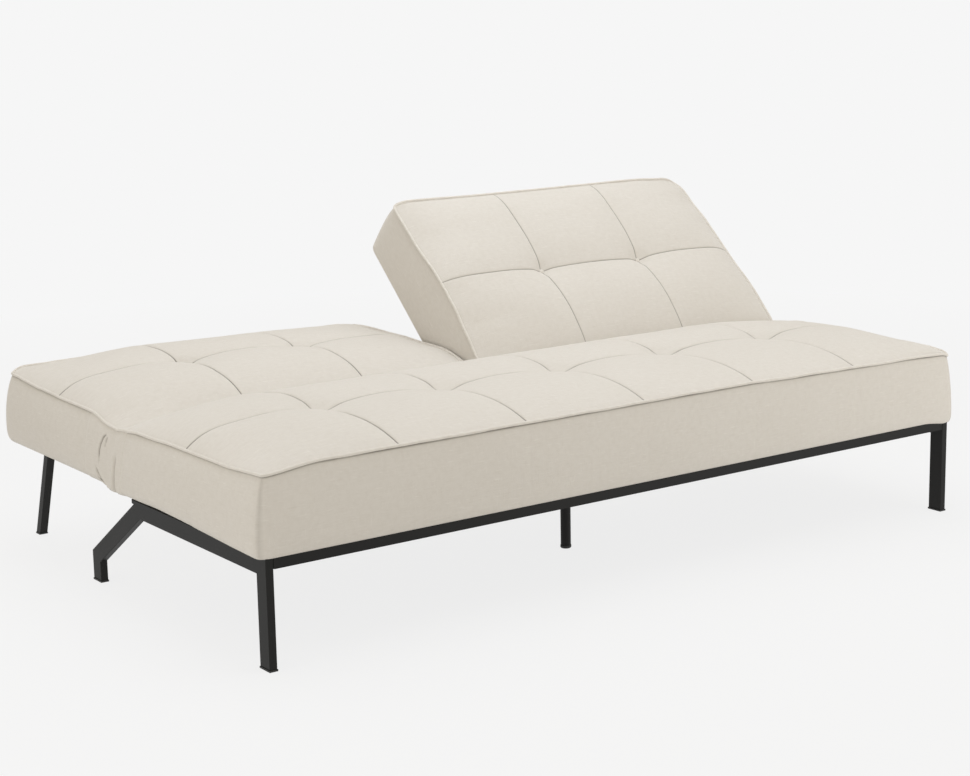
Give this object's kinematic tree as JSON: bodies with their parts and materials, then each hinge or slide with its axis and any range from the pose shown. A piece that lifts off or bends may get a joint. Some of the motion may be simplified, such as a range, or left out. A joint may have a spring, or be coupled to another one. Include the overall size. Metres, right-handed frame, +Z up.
{
  "type": "click clack sofa bed",
  "caption": "Click clack sofa bed: tufted seat, split backs that fold down separately on ratchet hinges, slim black steel tube base.",
  "frame": {"origin": "on the floor, below the middle of the box round the whole bed as it stands here, left back flat and right back half raised", "axes": "+X along the bed to its right end, seen from the front; the front faces -Y; +Z up from the floor"},
  "size_m": [1.992, 1.3644, 0.7902],
  "materials": {
    "frame_steel": "matte",
    "plated_steel": "satin",
    "black_plastic": "matte",
    "linen": "matte",
    "black_lining": "matte",
    "strap": "matte"
  },
  "bodies": {
    "base": {"side_frame_left": "frame_steel", "side_frame_right": "frame_steel", "front_rail": "frame_steel", "rear_rail": "frame_steel", "centre_beam": "frame_steel", "middle_leg": "frame_steel", "seat_tube_left": "frame_steel", "seat_tube_right": "frame_steel", "seat_tube_rear_left": "frame_steel", "seat_tube_rear_right": "frame_steel", "seat_tube_front": "frame_steel", "seat_tube_centre": "frame_steel", "front_foot_left": "black_plastic", "front_foot_right": "black_plastic", "rear_foot_left": "black_plastic", "rear_foot_right": "black_plastic", "middle_foot": "black_plastic", "hinge_seat_plate_left_outer": "plated_steel", "hinge_seat_plate_left_inner": "plated_steel", "hinge_seat_plate_right_outer": "plated_steel", "hinge_seat_plate_right_inner": "plated_steel", "hinge_pin_left_outer": "plated_steel", "hinge_pin_left_inner": "plated_steel", "hinge_pin_right_outer": "plated_steel", "hinge_pin_right_inner": "plated_steel", "pawl_spring_left_outer": "plated_steel", "pawl_spring_left_inner": "plated_steel", "pawl_spring_right_outer": "plated_steel", "pawl_spring_right_inner": "plated_steel", "seat_springs": "plated_steel", "seat_cushion": "linen", "seat_dust_cover": "black_lining"},
    "left_back": {"back_tube_outer_left": "frame_steel", "back_tube_inner_left": "frame_steel", "back_tube_front_left": "frame_steel", "back_tube_rear_left": "frame_steel", "hinge_back_arm_left_outer": "plated_steel", "hinge_back_arm_left_inner": "plated_steel", "back_webbing_left": "strap", "back_cushion_left": "linen", "back_lining_left": "linen", "back_leg_left": "frame_steel", "back_leg_foot_left": "black_plastic"},
    "right_back": {"back_tube_outer_right": "frame_steel", "back_tube_inner_right": "frame_steel", "back_tube_front_right": "frame_steel", "back_tube_rear_right": "frame_steel", "hinge_back_arm_right_outer": "plated_steel", "hinge_back_arm_right_inner": "plated_steel", "back_webbing_right": "strap", "back_cushion_right": "linen", "back_lining_right": "linen", "back_leg_right": "frame_steel", "back_leg_foot_right": "black_plastic"},
    "left_outer_pawl": {"pawl_left_outer": "plated_steel"},
    "left_inner_pawl": {"pawl_left_inner": "plated_steel"},
    "right_outer_pawl": {"pawl_right_outer": "plated_steel"},
    "right_inner_pawl": {"pawl_right_inner": "plated_steel"}
  },
  "joints": [
    {"name": "left_back_hinge", "type": "hinge", "parent": "base", "child": "left_back", "pos_m": [-0.4812, 0.03, 0.327], "axis": [1, 0, 0], "range_deg": [0, 79]},
    {"name": "right_back_hinge", "type": "hinge", "parent": "base", "child": "right_back", "pos_m": [0.4812, 0.03, 0.327], "axis": [1, 0, 0], "range_deg": [-43.4, 35.6]},
    {"name": "left_outer_pawl_pivot", "type": "hinge", "parent": "base", "child": "left_outer_pawl", "pos_m": [-0.9408, 0.00113, 0.29407], "axis": [1, 0, 0], "range_deg": [0, 12], "stiffness_Nm_per_rad": 0.02, "deforming": ["pawl_spring_left_outer"]},
    {"name": "left_inner_pawl_pivot", "type": "hinge", "parent": "base", "child": "left_inner_pawl", "pos_m": [-0.0216, 0.00113, 0.29407], "axis": [1, 0, 0], "range_deg": [0, 12], "stiffness_Nm_per_rad": 0.02, "deforming": ["pawl_spring_left_inner"]},
    {"name": "right_outer_pawl_pivot", "type": "hinge", "parent": "base", "child": "right_outer_pawl", "pos_m": [0.9408, 0.00113, 0.29407], "axis": [1, 0, 0], "range_deg": [0, 12], "stiffness_Nm_per_rad": 0.02, "deforming": ["pawl_spring_right_outer"]},
    {"name": "right_inner_pawl_pivot", "type": "hinge", "parent": "base", "child": "right_inner_pawl", "pos_m": [0.0216, 0.00113, 0.29407], "axis": [1, 0, 0], "range_deg": [0, 12], "stiffness_Nm_per_rad": 0.02, "deforming": ["pawl_spring_right_inner"]}
  ]
}
